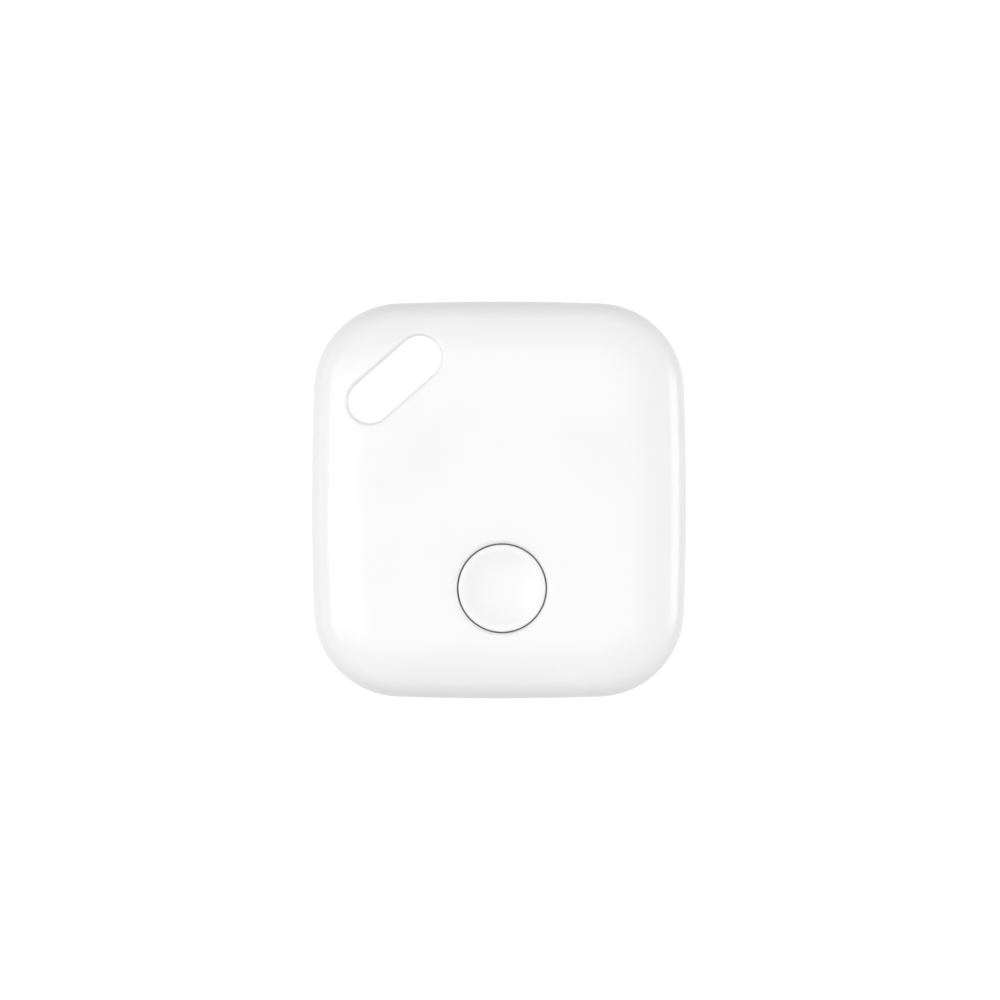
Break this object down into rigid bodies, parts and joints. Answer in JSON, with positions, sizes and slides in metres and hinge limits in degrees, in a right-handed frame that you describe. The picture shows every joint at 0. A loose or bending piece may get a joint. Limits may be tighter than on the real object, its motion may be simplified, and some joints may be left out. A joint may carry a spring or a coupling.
{
  "type": "bluetooth tracker tag",
  "caption": "White rounded-square tracker tag with a diagonal key-ring slot in one corner, a round push button and a coin cell behind a bayonet door in its back.",
  "frame": {"origin": "centre of the flat back face, which lies on the table", "axes": "+Z out of the front face, where the button is; +Y towards the end with the key-ring slot; +X to the right as seen from the front"},
  "size_m": [0.037, 0.0392, 0.008],
  "materials": {
    "shell_white": "satin gloss, moulded",
    "silicone": "translucent matt",
    "seal_rubber": "matt",
    "black_plastic": "fine moulded texture",
    "board_green": "glossy solder mask",
    "gold_plate": "bright plated",
    "brass": "rolled satin",
    "steel": "satin nickel plated",
    "tin": "bright tin",
    "chip_epoxy": "fine matt",
    "ferrite": "matt",
    "capacitor_ceramic": "smooth matt",
    "piezo_white": "matt",
    "adhesive_foam": "matt foam tape",
    "film_amber": "clear amber film",
    "nylon": "smooth matt",
    "cell_mass": "pressed powder"
  },
  "bodies": {
    "casing": {"front_cover": "shell_white", "front_loop": "shell_white", "rear_cover": "shell_white", "rear_loop": "shell_white", "case_seal": "silicone", "slot_seal": "silicone", "button_membrane": "silicone", "switch_base": "black_plastic", "switch_terminals": "tin", "switch_dome": "steel", "switch_cover": "steel", "circuit_board": "board_green", "board_screws": "steel", "antenna_trace": "gold_plate", "test_pads": "gold_plate", "bluetooth_chip": "chip_epoxy", "main_crystal": "steel", "clock_crystal": "steel", "inductor": "ferrite", "capacitors": "capacitor_ceramic", "resistors": "chip_epoxy", "transistors": "chip_epoxy", "component_terminals": "tin", "piezo_adhesive": "adhesive_foam", "piezo_plate": "brass", "piezo_ceramic": "piezo_white", "piezo_electrode": "tin", "piezo_contacts": "gold_plate", "cell_holder": "black_plastic", "cell_insulator": "film_amber", "positive_contact": "gold_plate", "negative_contact": "gold_plate", "cell_can": "steel", "cell_lid": "steel", "cell_gasket": "nylon", "cell_core": "cell_mass"},
    "button": {"button_cap": "shell_white", "button_pad": "silicone", "switch_plunger": "black_plastic"},
    "door": {"battery_door": "shell_white", "door_seal": "seal_rubber"}
  },
  "joints": [
    {"name": "button_press", "type": "slide", "parent": "casing", "child": "button", "axis": [0, 0, -1], "range_m": [0, 0.00025], "stiffness_N_per_m": 1000, "springref_m": -0.0003, "deforming": ["button_membrane", "switch_dome"]},
    {"name": "door_turn", "type": "hinge", "parent": "casing", "child": "door", "pos_m": [0, 0, 0.001], "axis": [0, 0, -1], "range_deg": [0, 40]}
  ]
}
